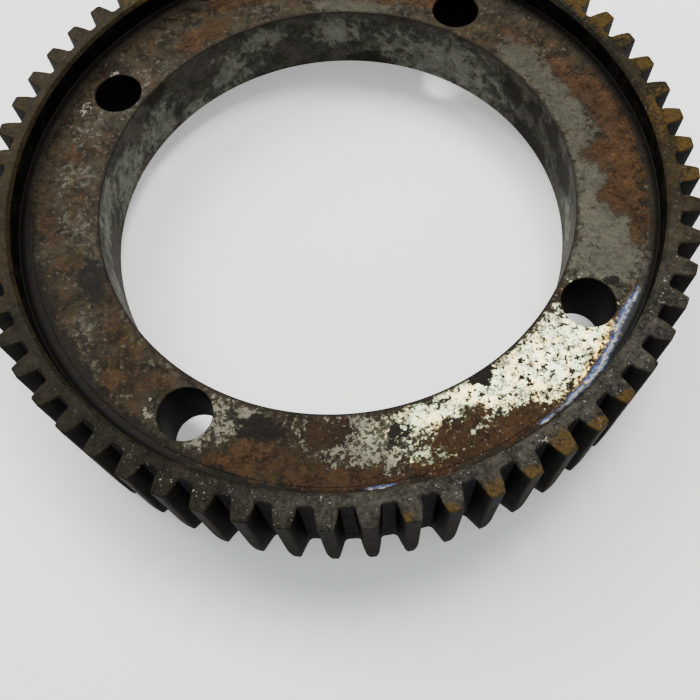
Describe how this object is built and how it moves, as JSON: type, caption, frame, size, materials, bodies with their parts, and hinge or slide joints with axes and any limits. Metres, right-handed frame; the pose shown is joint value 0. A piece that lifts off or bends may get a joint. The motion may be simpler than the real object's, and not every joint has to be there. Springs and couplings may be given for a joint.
{
  "type": "slewing ring bearing",
  "caption": "Externally geared ball slewing ring: a toothed outer ring turns on caged balls around a recessed inner ring with bolt holes.",
  "frame": {"origin": "on the bearing's axis, in the plane of the outer ring's underside", "axes": "+Z along the axis of rotation, from the tapped underside to the recessed upper side; +X through the middle of a tooth; the four bolt holes lie at 45 degrees to X and Y"},
  "size_m": [0.2503, 0.2504, 0.048],
  "materials": {
    "gear_steel": "worn, oily and rust-tinted",
    "ring_steel": "worn, stained and lightly rusted",
    "ball_steel": "polished",
    "plug_steel": "turned",
    "cage_nylon": "moulded",
    "seal_rubber": "oily black rubber",
    "nipple_brass": "turned"
  },
  "bodies": {
    "inner_ring": {"inner_ring": "ring_steel", "loading_plug": "plug_steel", "plug_taper_pin": "plug_steel", "grease_nipple_left": "nipple_brass", "grease_nipple_right": "nipple_brass"},
    "outer_ring": {"geared_outer_ring": "gear_steel", "upper_seal": "seal_rubber", "lower_seal": "seal_rubber"},
    "ball_cage": {"cage_segment_1": "cage_nylon", "cage_segment_2": "cage_nylon", "cage_segment_3": "cage_nylon", "cage_segment_4": "cage_nylon", "cage_segment_5": "cage_nylon", "cage_segment_6": "cage_nylon", "ball_01": "ball_steel", "ball_02": "ball_steel", "ball_03": "ball_steel", "ball_04": "ball_steel", "ball_05": "ball_steel", "ball_06": "ball_steel", "ball_07": "ball_steel", "ball_08": "ball_steel", "ball_09": "ball_steel", "ball_10": "ball_steel", "ball_11": "ball_steel", "ball_12": "ball_steel", "ball_13": "ball_steel", "ball_14": "ball_steel", "ball_15": "ball_steel", "ball_16": "ball_steel", "ball_17": "ball_steel", "ball_18": "ball_steel", "ball_19": "ball_steel", "ball_20": "ball_steel", "ball_21": "ball_steel", "ball_22": "ball_steel", "ball_23": "ball_steel", "ball_24": "ball_steel", "ball_25": "ball_steel", "ball_26": "ball_steel", "ball_27": "ball_steel", "ball_28": "ball_steel", "ball_29": "ball_steel", "ball_30": "ball_steel", "ball_31": "ball_steel", "ball_32": "ball_steel", "ball_33": "ball_steel", "ball_34": "ball_steel", "ball_35": "ball_steel", "ball_36": "ball_steel", "ball_37": "ball_steel", "ball_38": "ball_steel", "ball_39": "ball_steel", "ball_40": "ball_steel", "ball_41": "ball_steel", "ball_42": "ball_steel"}
  },
  "joints": [
    {"name": "ring_turn", "type": "hinge", "parent": "inner_ring", "child": "outer_ring", "pos_m": [0, 0, 0.024], "axis": [0, 0, 1], "continuous": true},
    {"name": "cage_orbit", "type": "hinge", "parent": "inner_ring", "child": "ball_cage", "pos_m": [0, 0, 0.024], "axis": [0, 0, 1], "continuous": true}
  ],
  "couplings": [
    {"joint": "cage_orbit", "follows": "ring_turn", "ratio": 0.5101}
  ]
}
